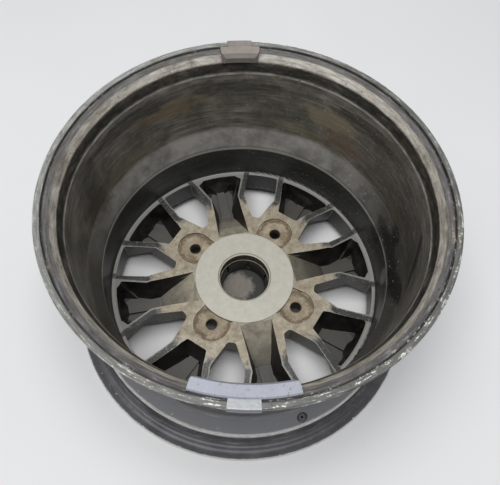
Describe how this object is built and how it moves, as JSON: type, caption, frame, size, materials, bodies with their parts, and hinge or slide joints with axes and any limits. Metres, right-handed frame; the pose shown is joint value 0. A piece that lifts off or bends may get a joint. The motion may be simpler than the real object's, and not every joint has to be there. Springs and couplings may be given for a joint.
{
  "type": "wheel rim",
  "caption": "Cast aluminium off-road wheel rim with deep inboard barrel, split Y spokes around windows, stud holes, clip-on balance weights, snap-in valve and centre cap.",
  "frame": {"origin": "centre of the hub's machined mounting face, on the axle line", "axes": "+Z along the axle line towards the vehicle (inboard); +X and +Y lie in the mounting face"},
  "size_m": [0.3894, 0.3916, 0.2259],
  "materials": {
    "cast_alloy": "worn dark paint over cast aluminium, with machined and stained faces",
    "cap_plastic": "moulded black plastic, dusty",
    "weight_paint": "silver-lilac coated cast weight",
    "clip_steel": "coated spring steel strip",
    "old_weight": "dull, dirty cast weight",
    "old_clip": "dirty steel strip",
    "valve_rubber": "black rubber",
    "valve_brass": "turned brass",
    "seal_rubber": "soft red seal",
    "spring_steel": "drawn wire"
  },
  "bodies": {
    "wheel": {"wheel": "cast_alloy", "weight": "weight_paint", "weight_clip": "clip_steel", "small_weight": "old_weight", "small_weight_clip": "old_clip", "valve_rubber": "valve_rubber", "valve_stem": "valve_brass", "valve_core": "valve_brass", "valve_core_seal": "seal_rubber", "valve_core_spring": "spring_steel"},
    "centre_cap": {"centre_cap": "cap_plastic"},
    "valve_pin": {"valve_pin": "valve_brass"},
    "valve_cap": {"valve_cap": "cap_plastic", "valve_cap_gasket": "seal_rubber"}
  },
  "joints": [
    {"name": "centre_cap_pull", "type": "slide", "parent": "wheel", "child": "centre_cap", "axis": [0, 0, -1], "range_m": [0, 0.03]},
    {"name": "valve_pin_press", "type": "slide", "parent": "wheel", "child": "valve_pin", "axis": [0.1933, -0.4108, 0.891], "range_m": [0, 0.0012], "stiffness_N_per_m": 600, "springref_m": -0.0005, "deforming": ["valve_core_spring"]},
    {"name": "valve_cap_unscrew", "type": "slide", "parent": "wheel", "child": "valve_cap", "axis": [-0.1933, 0.4108, -0.891], "range_m": [0, 0.012]}
  ]
}
